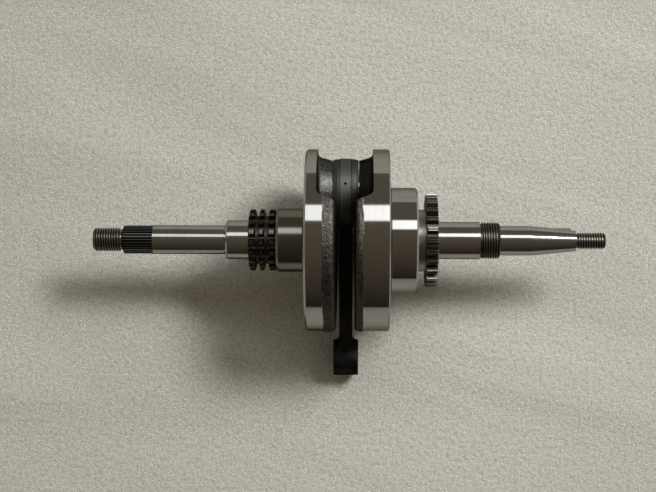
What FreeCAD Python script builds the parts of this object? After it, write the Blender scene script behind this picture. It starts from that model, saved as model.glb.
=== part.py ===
import FreeCAD, Part
import math
import os

# Built-up crankshaft of a single-cylinder scooter engine, with its connecting rod.
# Two half cranks are pressed on a crank pin; the rod turns on the pin on caged needle rollers.
# The left half carries a roller bearing's inner ring, a triple chain sprocket and the pulley shaft.
# The right half carries a ball bearing, a pump drive gear and the flywheel taper.
#
# Millimetres. X is the crank axis, from the pulley end to the flywheel end. +Y points from the axis
# to the crank pin. +Z is up: the crank lies on its webs, and the rod's small end rests beside them.
# The origin is the centre of the ball bearing. Distances called "out" are measured from the rod's
# middle plane along X, away from the rod.

V = FreeCAD.Vector
X_AXIS = V(1, 0, 0)

# ---------------------------------------------------------------- driving dimensions
# crank pin, webs and counterweights
THROW = 28.9                  # crank axis to pin axis, half the stroke
PIN_RADIUS = 12.5
PIN_SETBACK = 0.3             # pin ends below the webs' outer faces
PIN_LEAD = 0.6                # chamfer on the pin's ends and on the mouths of its bores
OIL_SPACE_RADIUS = 4.5        # bore through the pin, closed by a plug at each end
PLUG_LENGTH = 4.0
PLUG_SETBACK = 1.5            # plug below the pin's end
PLUG_DISH = 1.2               # depth of the hollow in the plug's outer face
PIN_OIL_HOLE = 1.25           # radius, from the oil space out to the needles
FEED_RADIUS = 1.5             # slanted hole through the right web to the oil space
FEED_MOUTH_Y = 15.0           # its mouth in the web's outer face, facing the ball bearing's race
FEED_MOUTH_Z = 18.0
FEED_DEPTH = 12.0             # from the web's face to where it meets the oil space
WEB_RADIUS = 53.5             # turned rim
FORGED_PROUD = 0.3            # the unturned counterweight stands this much over the rim
WEB_GAP = 10.8                # between the two counterweights
BOSS_GAP = 15.6               # between the two bosses round the pin
BOSS_WALL = 5.4               # round the pin at the boss's face, growing with the draft
BOSS_DRAFT = 0.28             # growth of radius per mm of depth
WALL_HEIGHT = 21.8            # counterweight's straight edge above the axis, at its inner face
WALL_DRAFT = 0.42             # rise of that edge per mm of depth
EDGE_ROUND = 3.0              # forged counterweight's inner edge
ROOT_ROUND = 3.5              # between web, boss and counterweight
LEFT_WEB = 17.7
LEFT_THIN = 6.7               # web's thickness beside the pin
LEFT_RIM = 10.6               # width of the turned rim
LEFT_CHAMFER = 1.2
LEFT_STEP = 1.2               # face that the roller bearing's inner ring seats on
LEFT_STEP_HEIGHT = 1.8        # over the shaft
RIGHT_WEB = 20.1
RIGHT_THIN = 9.6
RIGHT_RIM = 15.3
RIGHT_CHAMFER = 0.7
RIGHT_STEP = 0.3              # face that the ball bearing's inner ring seats on
RIGHT_STEP_HEIGHT = 4.0

# connecting rod
ROD_LENGTH = 110.0            # pin centre to pin centre
BIG_END_WALL = 3.3
BIG_END_WIDTH = 15.0
BIG_END_BEVEL = 0.7           # fall of the outer surface to each side face
BIG_END_BEVEL_WIDTH = 3.0
BIG_END_BAND = 6.4            # width of the raised band round the middle
BIG_END_BAND_HEIGHT = 0.3
POCKET_CLEARANCE = 1.0        # big end to the counterweights
SMALL_END_WALL = 3.5
SMALL_END_WIDTH = 15.2
SMALL_END_BORE = 7.5
SHANK_WIDTH = 8.0             # along X
SHANK_HALF_AT_BIG = 9.6       # half its height where it leaves the big end
SHANK_HALF_AT_SMALL = 6.6
BEAM_FLANGE = 2.6
BEAM_WEB = 3.2
BEAM_CORNER = 0.8             # radius of the hollow's corners, as a share of its half height
BEAM_FLOOR_ROUND = 0.5        # round at its floor, as a share of its depth
BEAM_START = 6.0              # from the big end's outside to the hollow
BEAM_STOP = 9.0               # from the hollow to the small end's outside
FLARE_ROUND = 4.4             # shank to small end, seen across the rod
FLARE_OVERLAP = 3.0           # full width reached this far inside the small end's circle
NECK_ROUND = 1.0              # shank to big end, seen across the rod
BIG_END_FILLET = 14.0         # shank to ends, seen along X
SMALL_END_FILLET = 9.0
BORE_LEAD = 0.5               # chamfer on the mouths of both bores
OIL_HOLE_RADIUS = 0.8         # in the big end's side
OIL_HOLE_ANGLE = 124.0        # from the shank
SMALL_OIL_HOLE_RADIUS = 1.5

# caged needle rollers in the big end
NEEDLE_COUNT = 16
NEEDLE_RADIUS = 1.49
NEEDLE_LENGTH = 10.8
NEEDLE_ROUND = 0.3            # chamfer on a needle's ends
NEEDLE_CLEARANCE = 0.01       # to the pin and to the rod
NEEDLE_CAGE_WIDTH = 13.8
NEEDLE_CAGE_CLEARANCE = 0.25  # to the pin and to the rod
NEEDLE_POCKET_CLEARANCE = 0.06

# ball bearing: 30 x 62 x 16
BEARING_BORE = 15.0
BEARING_RADIUS = 31.0
BEARING_WIDTH = 16.0
BEARING_CHAMFER = 1.0
BALL_COUNT = 9
BALL_RADIUS = 4.76
BALL_CLEARANCE = 0.015
INNER_SHOULDER_DROP = 2.8     # inner ring's shoulder below the balls' pitch circle
OUTER_SHOULDER_RISE = 3.5     # outer ring's shoulder above it
RACE_CHAMFER = 0.6            # on the inner ring's bore
CAGE_SHEET = 0.9
CAGE_RING_GAP = 0.8           # cage to the inner ring
CAGE_OUTER_GAP = 1.3          # cage to the outer ring
CAGE_BALL_CLEARANCE = 0.12
RIVET_RADIUS = 0.8
RIVET_HEAD_RADIUS = 1.4
RIVET_HEAD = 0.5
RIVET_CROWN_RADIUS = 0.85     # the head's flat top

# left shaft, from the web outwards
RING_BORE = 15.0              # roller bearing's inner ring
RING_RADIUS = 18.75
RING_WIDTH = 16.0
RING_CHAMFER = 0.8
RING_LEAD = 1.4               # length of the lead-in on the side that the rollers come from
SPROCKET_SEAT_HEIGHT = 0.5    # over the collar
COLLAR_RADIUS = 11.5
COLLAR_CHAMFER = 0.9
COLLAR_LENGTH = 13.5
UNDERCUT = 1.0
UNDERCUT_DEPTH = 0.8
PULLEY_SHAFT_RADIUS = 8.5
PULLEY_SHAFT_LENGTH = 41.9
SPLINE_LENGTH = 18.0
SPLINE_TEETH = 30
SPLINE_DEPTH = 0.85           # its roots below the plain shaft
SPLINE_RELIEF = 0.2           # spline's tips below the plain shaft
SPLINE_ROOT_SHARE = 0.32      # width of a groove's floor, as a share of the pitch
SPLINE_FLANK = 30.0           # each flank's angle to the groove's middle
SPLINE_LEAD = 1.3             # length of the bevel at the spline's start
M14_RADIUS = 6.95
M14_PITCH = 1.5
M14_LENGTH = 15.2
M14_RELIEF = 1.8              # groove between thread and spline

# triple sprocket
TOOTH_COUNT = 18
SPROCKET_RADIUS = 18.0
SPROCKET_FLOOR = 14.0         # bottom of the grooves between the rows
SPROCKET_HUB = 15.4           # radius of the plain hub that spaces the teeth from the bearing's ring
SPROCKET_HUB_WIDTH = 0.3
ROW_WIDTHS = (4.3, 3.4, 4.2)  # from the bearing outwards
ROW_GAPS = (2.1, 1.8)
ROW_TAPER = 0.7               # each side's loss of width at the tips
ROW_TAPER_HEIGHT = 2.4
VALLEY_RADIUS = 1.55
VALLEY_BOTTOM = 14.5
VALLEY_OPENING = 0.16         # each flank's slope outwards

# right shaft, from the bearing outwards
GEAR_SEAT_DROP = 2.0          # below the bearing's bore
GEAR_MODULE = 2.0
GEAR_TEETH = 26
GEAR_TIP_RADIUS = 27.5
GEAR_WIDTH = 6.6
GEAR_TIP_CHAMFER = 0.6
GEAR_HUB_WALL = 3.2           # over the bearing's bore
GEAR_HUB_LENGTH = 5.0
PRESSURE_ANGLE = 20.0
GEAR_BACKLASH = 0.1           # taken off each tooth's thickness
GEAR_ROOT_SHARE = 0.75        # width of the gap's floor, as a share of its width at the base circle
SEAL_RADIUS = 11.0
SEAL_LENGTH = 25.2
M22_RADIUS = 10.85
M22_PITCH = 1.5
M22_LENGTH = 11.7
M22_RELIEF = 1.2
NECK_RADIUS = 8.65
NECK_LENGTH = 18.7
TAPER_LENGTH = 26.0
TAPER = 0.2                   # loss of diameter per mm, 1 in 5
M10_RADIUS = 4.95
M10_PITCH = 1.5
M10_LENGTH = 16.1
M10_RELIEF = 1.4

# keys
GEAR_KEY_WIDTH = 4.0
GEAR_KEY_LENGTH = 9.0
GEAR_KEY_DEPTH = 2.5          # into the shaft
GEAR_KEY_PROUD = 1.8
FLY_KEY_WIDTH = 4.0
FLY_KEY_RADIUS = 6.5          # the disc that the half-moon key is cut from
FLY_KEY_TOP = 7.5             # key's flat top above the axis
FLY_KEY_HEIGHT = 5.0
FLY_KEY_FROM_SMALL_END = 8.9  # key's middle to the taper's small end
KEY_CLEARANCE = 0.02

# lathe centres in both ends
CENTRE_CONE_RADIUS = 2.6
CENTRE_DRILL_RADIUS = 1.25
CENTRE_DRILL_DEPTH = 6.0

# what all three threads share
THREAD_DEPTH = 0.61           # share of the pitch
THREAD_FLAT = 0.125           # flat crest and root, as shares of the pitch
THREAD_CLEAR = 0.05           # how far the cutting tool stands over the crest
THREAD_RELIEF = 0.7           # depth of the groove that the thread runs out in, in pitches
THREAD_CHAMFER = 0.75         # on the thread's open end, in pitches
THREAD_STARTS = (180, 100, 37, 250, 320, 70, 140)     # turns of the helix about X to try, degrees

# ---------------------------------------------------------------- places along X
BEARING_RIGHT = BEARING_WIDTH / 2
BEARING_LEFT = -BEARING_WIDTH / 2
ROD_X = BEARING_LEFT - RIGHT_STEP - RIGHT_WEB - WEB_GAP / 2
LEFT_WEB_FACE = ROD_X - WEB_GAP / 2 - LEFT_WEB
RIGHT_WEB_FACE = ROD_X + WEB_GAP / 2 + RIGHT_WEB
RING_RIGHT = LEFT_WEB_FACE - LEFT_STEP
RING_LEFT = RING_RIGHT - RING_WIDTH
SPROCKET_WIDTH = SPROCKET_HUB_WIDTH + sum(ROW_WIDTHS) + sum(ROW_GAPS)
SPROCKET_LEFT = RING_LEFT - SPROCKET_WIDTH
COLLAR_LEFT = SPROCKET_LEFT - COLLAR_LENGTH
PULLEY_RIGHT = COLLAR_LEFT - UNDERCUT
SPLINE_RIGHT = PULLEY_RIGHT - PULLEY_SHAFT_LENGTH
SPLINE_LEFT = SPLINE_RIGHT - SPLINE_LENGTH
M14_RIGHT = SPLINE_LEFT - M14_RELIEF
LEFT_END = M14_RIGHT - M14_LENGTH
PIN_LEFT = LEFT_WEB_FACE + PIN_SETBACK
PIN_RIGHT = RIGHT_WEB_FACE - PIN_SETBACK
GEAR_LEFT = BEARING_RIGHT + GEAR_HUB_LENGTH
GEAR_RIGHT = GEAR_LEFT + GEAR_WIDTH
M22_LEFT = GEAR_RIGHT + SEAL_LENGTH
M22_RIGHT = M22_LEFT + M22_LENGTH
TAPER_LEFT = M22_RIGHT + NECK_LENGTH
TAPER_RIGHT = TAPER_LEFT + TAPER_LENGTH
TAPER_END_RADIUS = NECK_RADIUS - TAPER_LENGTH * TAPER / 2
M10_LEFT = TAPER_RIGHT + M10_RELIEF
RIGHT_END = M10_LEFT + M10_LENGTH

# ---------------------------------------------------------------- radii that follow from the ones above
BOSS_RADIUS = PIN_RADIUS + BOSS_WALL
BIG_END_BORE = PIN_RADIUS + 2 * (NEEDLE_RADIUS + NEEDLE_CLEARANCE)
BIG_END_RADIUS = BIG_END_BORE + BIG_END_WALL
POCKET_RADIUS = BIG_END_RADIUS + BIG_END_BAND_HEIGHT + POCKET_CLEARANCE
NEEDLE_PITCH = (PIN_RADIUS + BIG_END_BORE) / 2
SMALL_END_RADIUS = SMALL_END_BORE + SMALL_END_WALL
LEFT_STEP_RADIUS = RING_BORE + LEFT_STEP_HEIGHT
RIGHT_STEP_RADIUS = BEARING_BORE + RIGHT_STEP_HEIGHT
SPROCKET_SEAT = COLLAR_RADIUS + SPROCKET_SEAT_HEIGHT
GEAR_SEAT = BEARING_BORE - GEAR_SEAT_DROP
GEAR_HUB_RADIUS = BEARING_BORE + GEAR_HUB_WALL
BALL_PITCH = (BEARING_BORE + BEARING_RADIUS) / 2
INNER_SHOULDER = BALL_PITCH - INNER_SHOULDER_DROP
OUTER_SHOULDER = BALL_PITCH + OUTER_SHOULDER_RISE
CAGE_INNER = INNER_SHOULDER + CAGE_RING_GAP
CAGE_OUTER = OUTER_SHOULDER - CAGE_OUTER_GAP

PIN_CENTRE = V(ROD_X, THROW, 0)
FLOOR_DEPTH = WEB_RADIUS + FORGED_PROUD     # from the axis down to the surface that the crank lies on
ROD_TILT = math.degrees(math.asin((FLOOR_DEPTH - SMALL_END_RADIUS) / ROD_LENGTH))
FLY_KEY_X = TAPER_RIGHT - FLY_KEY_FROM_SMALL_END


# ---------------------------------------------------------------- small tools
def cylinder(x0, x1, radius, y=0.0, z=0.0):
    """A cylinder along X, from x0 to x1."""
    return Part.makeCylinder(radius, x1 - x0, V(x0, y, z), X_AXIS)


def tube(x0, x1, outer, inner, y=0.0, z=0.0):
    return cylinder(x0, x1, outer, y, z).cut(cylinder(x0, x1, inner, y, z))


def box(low, high):
    return Part.makeBox(high[0] - low[0], high[1] - low[1], high[2] - low[2], V(*low))


def turned(profile, y=0.0):
    """A solid of revolution about a line along X. The profile is (x, radius) from left to right."""
    points = [V(profile[0][0], y, 0)] + [V(x, y + r, 0) for x, r in profile] + [V(profile[-1][0], y, 0)]
    outline = [points[0]] + [b for a, b in zip(points, points[1:]) if (b - a).Length > 1e-9]
    if (outline[-1] - outline[0]).Length > 1e-9:
        outline.append(outline[0])
    return Part.Face(Part.makePolygon(outline)).revolve(V(0, y, 0), X_AXIS, 360)


def ring(profile, y=0.0):
    """A ring about X from a closed (x, radius) outline."""
    points = [V(x, y + r, 0) for x, r in profile]
    return Part.Face(Part.makePolygon(points + points[:1])).revolve(V(0, y, 0), X_AXIS, 360)


def around(shape, count, centre=V(0, 0, 0), first=0.0):
    """Copies of a shape, turned about X."""
    copies = []
    for i in range(count):
        copy = shape.copy()
        copy.rotate(centre, X_AXIS, first + i * 360.0 / count)
        copies.append(copy)
    return copies


def without(shape, tools):
    """A shape less a list of tools."""
    return shape.cut(Part.makeCompound(tools))


def one_solid(shape, name):
    """The single clean solid in a shape."""
    shape = shape.removeSplitter()
    if len(shape.Solids) != 1:
        raise ValueError(f"{name} came out as {len(shape.Solids)} solids")
    return shape.Solids[0]


# ---------------------------------------------------------------- shaft features
def cut_thread(shaft, x_relief, x_open, radius, pitch):
    """Cuts the helical groove of an external thread, from a relief groove out past the open end.

    A helix that starts on the shaft's seam can leave the cut undone, so each start is tried until
    the metal that went is what such a groove holds.
    """
    direction = 1 if x_open > x_relief else -1
    depth = THREAD_DEPTH * pitch
    root = radius - depth
    root_half = pitch * THREAD_FLAT / 2
    flank = (pitch / 2 - 2 * root_half) / depth
    top = radius + THREAD_CLEAR
    top_half = root_half + (top - root) * flank
    travel = abs(x_open - x_relief) + 1.5 * pitch
    helix = Part.makeHelix(pitch, travel, root)
    corners = [V(root, 0, -root_half), V(root, 0, root_half), V(top, 0, top_half), V(top, 0, -top_half)]
    profile = Part.makePolygon(corners + corners[:1])
    groove = Part.Solid(Part.Wire(helix).makePipeShell([profile], True, True))
    groove.rotate(V(0, 0, 0), V(0, 1, 0), 90 * direction)
    groove.translate(V(x_relief - direction * pitch / 2, 0, 0))

    turns = abs(x_open - x_relief) / pitch
    section = depth * (2 * root_half + depth * flank)
    expected = section * turns * 2 * math.pi * (radius - depth / 2)
    for start in THREAD_STARTS:
        turned_groove = groove.copy()
        turned_groove.rotate(V(0, 0, 0), X_AXIS, start)
        threaded = shaft.cut(turned_groove)
        gone = shaft.Volume - threaded.Volume
        if 0.8 * expected < gone < 1.2 * expected and threaded.isValid():
            return threaded
    raise ValueError(f"the thread at {x_relief:.1f} couldn't be cut")


def lathe_centre(x_end, direction):
    """The centre hole in a shaft's end. direction is -1 at the left end and 1 at the right."""
    cone_depth = CENTRE_CONE_RADIUS * math.sqrt(3)
    cone = Part.makeCone(CENTRE_CONE_RADIUS, 0, cone_depth, V(x_end, 0, 0), V(-direction, 0, 0))
    drill = Part.makeCylinder(CENTRE_DRILL_RADIUS, CENTRE_DRILL_DEPTH, V(x_end, 0, 0), V(-direction, 0, 0))
    return cone.fuse(drill)


def spline_grooves():
    """The grooves between the spline's teeth, as a list of prisms."""
    pitch_angle = 2 * math.pi / SPLINE_TEETH
    root = PULLEY_SHAFT_RADIUS - SPLINE_DEPTH
    top = PULLEY_SHAFT_RADIUS + 1
    root_half = root * pitch_angle * SPLINE_ROOT_SHARE / 2
    top_half = root_half + (top - root) * math.tan(math.radians(SPLINE_FLANK))
    corners = [V(SPLINE_LEFT - 1, root, -root_half), V(SPLINE_LEFT - 1, top, -top_half),
               V(SPLINE_LEFT - 1, top, top_half), V(SPLINE_LEFT - 1, root, root_half)]
    groove = Part.Face(Part.makePolygon(corners + corners[:1])).extrude(V(SPLINE_LENGTH + 1, 0, 0))
    return around(groove, SPLINE_TEETH)


# ---------------------------------------------------------------- webs
def web(inner, rim, thin, outer, chamfer):
    """One web, with all its distances measured out along +X from the rod's middle plane."""
    disc = turned([(thin, WEB_RADIUS), (outer - chamfer, WEB_RADIUS), (outer, WEB_RADIUS - chamfer)])

    forged = cylinder(inner, rim, WEB_RADIUS + FORGED_PROUD)
    weight = forged.fuse(cylinder(rim, thin, WEB_RADIUS))
    reach = WEB_RADIUS + 10
    wall = [V(inner - 1, WALL_HEIGHT - WALL_DRAFT, -reach),
            V(thin, WALL_HEIGHT + WALL_DRAFT * (thin - inner), -reach),
            V(thin, reach, -reach), V(inner - 1, reach, -reach)]
    above = Part.Face(Part.makePolygon(wall + wall[:1])).extrude(V(0, 0, 2 * reach))
    weight = weight.cut(above).removeSplitter()
    inner_edges = [e for e in weight.Edges if all(abs(v.X - inner) < 1e-6 for v in e.Vertexes)]
    weight = weight.makeFillet(EDGE_ROUND, inner_edges)

    face = BOSS_GAP / 2
    foot_radius = BOSS_RADIUS + BOSS_DRAFT * (thin - face)
    boss = turned([(face, BOSS_RADIUS), (thin, foot_radius), (thin + 1, foot_radius)], THROW)

    body = disc.fuse([weight, boss]).removeSplitter()
    floor_edges = [e for e in body.Edges
                   if all(abs(v.X - thin) < 1e-6 for v in e.Vertexes) and not on_rim(e)]
    body = body.makeFillet(ROOT_ROUND, floor_edges)

    pocket = cylinder(0, face, POCKET_RADIUS, THROW)
    return body.cut(pocket)


def pin_bore(outer, step, direction):
    """The bore for the pin in one web, from X = outer inwards; direction is out of the web.

    The bearing's seat stands a step over the web's face, and the bore's mouth cuts that step too.
    """
    bore = cylinder(min(ROD_X, outer), max(ROD_X, outer), PIN_RADIUS, THROW)
    mouth = [(-PIN_LEAD, PIN_RADIUS), (0, PIN_RADIUS + PIN_LEAD), (step, PIN_RADIUS + PIN_LEAD)]
    lead = turned([(outer + direction * x, radius) for x, radius in mouth][::direction], THROW)
    return bore.fuse(lead)


def feed_hole():
    """The slanted oil hole through the right web and the pin's wall."""
    mouth = V(RIGHT_WEB_FACE, FEED_MOUTH_Y, FEED_MOUTH_Z)
    end = V(RIGHT_WEB_FACE - FEED_DEPTH, THROW, 0)
    run = end - mouth
    start = mouth - run * (2 * FEED_RADIUS / run.Length)
    return Part.makeCylinder(FEED_RADIUS, run.Length + 2 * FEED_RADIUS, start, run)


def on_rim(edge):
    """Whether an edge lies on the web's turned rim."""
    middle = edge.valueAt((edge.FirstParameter + edge.LastParameter) / 2)
    return abs(math.hypot(middle.y, middle.z) - WEB_RADIUS) < 0.01


def left_half_crank():
    flange = web(WEB_GAP / 2, WEB_GAP / 2 + LEFT_WEB - LEFT_RIM, WEB_GAP / 2 + LEFT_WEB - LEFT_THIN,
                 WEB_GAP / 2 + LEFT_WEB, LEFT_CHAMFER)
    flange = flange.mirror(V(0, 0, 0), X_AXIS)
    flange.translate(V(ROD_X, 0, 0))
    relief_radius = M14_RADIUS - M14_PITCH * THREAD_RELIEF
    m14_chamfer = M14_PITCH * THREAD_CHAMFER
    profile = [
        (LEFT_END, M14_RADIUS - m14_chamfer),
        (LEFT_END + m14_chamfer, M14_RADIUS),
        (M14_RIGHT, M14_RADIUS),
        (M14_RIGHT, relief_radius),
        (SPLINE_LEFT - SPLINE_LEAD / 3, relief_radius),
        (SPLINE_LEFT + SPLINE_LEAD * 2 / 3, PULLEY_SHAFT_RADIUS - SPLINE_RELIEF),
        (SPLINE_RIGHT, PULLEY_SHAFT_RADIUS - SPLINE_RELIEF),
        (SPLINE_RIGHT, PULLEY_SHAFT_RADIUS),
        (PULLEY_RIGHT, PULLEY_SHAFT_RADIUS),
        (PULLEY_RIGHT, PULLEY_SHAFT_RADIUS - UNDERCUT_DEPTH),
        (COLLAR_LEFT, PULLEY_SHAFT_RADIUS - UNDERCUT_DEPTH),
        (COLLAR_LEFT, COLLAR_RADIUS - COLLAR_CHAMFER),
        (COLLAR_LEFT + COLLAR_CHAMFER, COLLAR_RADIUS),
        (SPROCKET_LEFT, COLLAR_RADIUS),
        (SPROCKET_LEFT, SPROCKET_SEAT),
        (RING_LEFT, SPROCKET_SEAT),
        (RING_LEFT, RING_BORE),
        (RING_RIGHT, RING_BORE),
        (RING_RIGHT, LEFT_STEP_RADIUS),
        (LEFT_WEB_FACE + 1, LEFT_STEP_RADIUS),
    ]
    shaft = turned(profile)
    shaft = without(shaft, spline_grooves())
    shaft = cut_thread(shaft, M14_RIGHT, LEFT_END, M14_RADIUS, M14_PITCH)
    shaft = shaft.cut(lathe_centre(LEFT_END, -1))
    half = flange.fuse(shaft).cut(pin_bore(LEFT_WEB_FACE, LEFT_STEP, -1))
    return one_solid(half, "left_half_crank")


def right_half_crank():
    flange = web(WEB_GAP / 2, WEB_GAP / 2 + RIGHT_WEB - RIGHT_RIM, WEB_GAP / 2 + RIGHT_WEB - RIGHT_THIN,
                 WEB_GAP / 2 + RIGHT_WEB, RIGHT_CHAMFER)
    flange.translate(V(ROD_X, 0, 0))
    m22_relief = M22_RADIUS - M22_PITCH * THREAD_RELIEF
    m22_chamfer = M22_PITCH * THREAD_CHAMFER
    m10_relief = M10_RADIUS - M10_PITCH * THREAD_RELIEF
    m10_chamfer = M10_PITCH * THREAD_CHAMFER
    profile = [
        (RIGHT_WEB_FACE - 1, RIGHT_STEP_RADIUS),
        (BEARING_LEFT, RIGHT_STEP_RADIUS),
        (BEARING_LEFT, BEARING_BORE),
        (BEARING_RIGHT, BEARING_BORE),
        (BEARING_RIGHT, GEAR_SEAT),
        (GEAR_RIGHT, GEAR_SEAT),
        (GEAR_RIGHT, SEAL_RADIUS),
        (M22_LEFT, SEAL_RADIUS),
        (M22_LEFT, m22_relief),
        (M22_LEFT + M22_RELIEF, m22_relief),
        (M22_LEFT + M22_RELIEF, M22_RADIUS),
        (M22_RIGHT - m22_chamfer, M22_RADIUS),
        (M22_RIGHT, M22_RADIUS - m22_chamfer),
        (M22_RIGHT, NECK_RADIUS),
        (TAPER_LEFT, NECK_RADIUS),
        (TAPER_RIGHT, TAPER_END_RADIUS),
        (TAPER_RIGHT, m10_relief),
        (M10_LEFT, m10_relief),
        (M10_LEFT, M10_RADIUS),
        (RIGHT_END - m10_chamfer, M10_RADIUS),
        (RIGHT_END, M10_RADIUS - m10_chamfer),
    ]
    shaft = turned(profile)
    shaft = cut_thread(shaft, M22_LEFT + M22_RELIEF, M22_RIGHT, M22_RADIUS, M22_PITCH)
    shaft = cut_thread(shaft, M10_LEFT, RIGHT_END, M10_RADIUS, M10_PITCH)
    shaft = shaft.cut(lathe_centre(RIGHT_END, 1))
    shaft = shaft.cut(gear_key_block(KEY_CLEARANCE))
    shaft = shaft.cut(flywheel_key_disc(KEY_CLEARANCE, NECK_RADIUS))
    half = flange.fuse(shaft).cut(pin_bore(RIGHT_WEB_FACE, RIGHT_STEP, 1))
    return one_solid(half.cut(feed_hole()), "right_half_crank")


# ---------------------------------------------------------------- crank pin and its plugs
def crank_pin():
    left, right = PIN_LEFT, PIN_RIGHT
    pin = turned([(left, PIN_RADIUS - PIN_LEAD), (left + PIN_LEAD, PIN_RADIUS),
                  (right - PIN_LEAD, PIN_RADIUS), (right, PIN_RADIUS - PIN_LEAD)], THROW)
    space = cylinder(left - 1, right + 1, OIL_SPACE_RADIUS, THROW)
    to_needles = Part.makeCylinder(PIN_OIL_HOLE, 2 * PIN_RADIUS, PIN_CENTRE, V(0, 1, 0))
    return one_solid(without(pin, [space, to_needles, feed_hole()]), "crank_pin")


def pin_plug(end, direction):
    """A dished plug near one end of the pin; direction points out of the pin."""
    outside = end - direction * PLUG_SETBACK
    profile = [(-PLUG_LENGTH, OIL_SPACE_RADIUS), (0, OIL_SPACE_RADIUS), (0, OIL_SPACE_RADIUS - PLUG_DISH),
               (-PLUG_DISH, OIL_SPACE_RADIUS - 2 * PLUG_DISH)]
    return turned([(outside + direction * x, radius) for x, radius in profile][::direction], THROW)


# ---------------------------------------------------------------- connecting rod
def fillet_on_circle(centre_y, circle, towards, line_y, line_z, slope, fillet):
    """Where a fillet leaves a straight edge and where it meets a circle, in the rod's side view.

    The edge runs through (line_y, line_z) with dz/dy = slope, above the Y axis. The circle is centred
    on the axis at centre_y. towards is 1 or -1: the side of the circle along Y that the edge leaves.
    """
    length = math.hypot(1, slope)
    offset = line_z + fillet * length
    # the fillet's centre is on the edge's parallel and circle + fillet away from the circle's centre
    a = 1 + slope ** 2
    b = 2 * (slope * (offset - slope * (line_y - centre_y)))
    c = (offset - slope * (line_y - centre_y)) ** 2 - (circle + fillet) ** 2
    along = (-b + towards * math.sqrt(b * b - 4 * a * c)) / (2 * a)
    y = centre_y + along
    z = offset + slope * (y - line_y)
    on_edge = V(0, y + fillet * slope / length, z - fillet / length)
    middle = V(0, y, z)
    to_circle = V(0, centre_y, 0) - middle
    on_circle = middle + to_circle * (fillet / to_circle.Length)
    return on_edge, on_circle, middle


def arc_through(start, end, middle, radius):
    """An arc about a centre, bulging towards it the short way."""
    half = (start + end) * 0.5 - middle
    return Part.Arc(start, middle + half * (radius / half.Length), end).toShape()


def rod_side_outline():
    """Half of the rod seen along X, for +Z, as a closed face; the rod lies along -Y from the pin."""
    small_y = -ROD_LENGTH
    slope = (SHANK_HALF_AT_BIG - SHANK_HALF_AT_SMALL) / ROD_LENGTH
    big = fillet_on_circle(0, BIG_END_RADIUS, -1, 0, SHANK_HALF_AT_BIG, slope, BIG_END_FILLET)
    small = fillet_on_circle(small_y, SMALL_END_RADIUS, 1, 0, SHANK_HALF_AT_BIG, slope, SMALL_END_FILLET)
    edges = [
        Part.LineSegment(V(0, 0, 0), big[1]).toShape(),
        arc_through(big[1], big[0], big[2], BIG_END_FILLET),
        Part.LineSegment(big[0], small[0]).toShape(),
        arc_through(small[0], small[1], small[2], SMALL_END_FILLET),
        Part.LineSegment(small[1], V(0, small_y, 0)).toShape(),
        Part.LineSegment(V(0, small_y, 0), V(0, 0, 0)).toShape(),
    ]
    return Part.Face(Part.Wire(edges))


def rod_top_outline():
    """Half of the shank seen along Z, for +X, as a closed face along -Y from the pin."""
    half = SHANK_WIDTH / 2
    neck_y = -POCKET_RADIUS
    shoulder_y = -(ROD_LENGTH - SMALL_END_RADIUS + FLARE_OVERLAP)
    small_half = SMALL_END_WIDTH / 2
    rise = small_half - half
    run = math.sqrt(FLARE_ROUND ** 2 - (FLARE_ROUND - rise) ** 2)
    diagonal = math.sqrt(0.5)
    turn = math.asin(run / FLARE_ROUND) / 2
    neck_top = V(half + NECK_ROUND, neck_y + NECK_ROUND, 0)
    neck_mid = V(half + NECK_ROUND * (1 - diagonal), neck_y + NECK_ROUND * diagonal, 0)
    flare_start = V(half, shoulder_y + run, 0)
    flare_mid = V(half + FLARE_ROUND * (1 - math.cos(turn)),
                  shoulder_y + run - FLARE_ROUND * math.sin(turn), 0)
    shoulder = V(small_half, shoulder_y, 0)
    edges = [
        Part.LineSegment(V(0, 0, 0), V(half + NECK_ROUND, 0, 0)).toShape(),
        Part.LineSegment(V(half + NECK_ROUND, 0, 0), neck_top).toShape(),
        Part.Arc(neck_top, neck_mid, V(half, neck_y, 0)).toShape(),
        Part.LineSegment(V(half, neck_y, 0), flare_start).toShape(),
        Part.Arc(flare_start, flare_mid, shoulder).toShape(),
        Part.LineSegment(shoulder, V(small_half, -ROD_LENGTH, 0)).toShape(),
        Part.LineSegment(V(small_half, -ROD_LENGTH, 0), V(0, -ROD_LENGTH, 0)).toShape(),
        Part.LineSegment(V(0, -ROD_LENGTH, 0), V(0, 0, 0)).toShape(),
    ]
    return Part.Face(Part.Wire(edges))


def beam_hollow():
    """The hollow in one side of the I-beam shank, on the +X side."""
    slope = (SHANK_HALF_AT_BIG - SHANK_HALF_AT_SMALL) / ROD_LENGTH
    start = -(BIG_END_RADIUS + BEAM_START)
    stop = -(ROD_LENGTH - SMALL_END_RADIUS - BEAM_STOP)
    low_half = SHANK_HALF_AT_BIG + slope * start - BEAM_FLANGE
    far_half = SHANK_HALF_AT_BIG + slope * stop - BEAM_FLANGE
    floor = BEAM_WEB / 2
    corners = [V(floor, start, -low_half), V(floor, start, low_half),
               V(floor, stop, far_half), V(floor, stop, -far_half)]
    hollow = Part.Face(Part.makePolygon(corners + corners[:1])).extrude(V(SHANK_WIDTH, 0, 0))
    upright = [e for e in hollow.Edges if len(e.Vertexes) == 2 and abs(e.Length - SHANK_WIDTH) < 1e-6]
    hollow = hollow.makeFillet(min(low_half, far_half) * BEAM_CORNER, upright)
    floor_edges = [e for e in hollow.Edges if all(abs(v.X - floor) < 1e-6 for v in e.Vertexes)]
    return hollow.makeFillet((SHANK_WIDTH - BEAM_WEB) / 2 * BEAM_FLOOR_ROUND, floor_edges)


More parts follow.
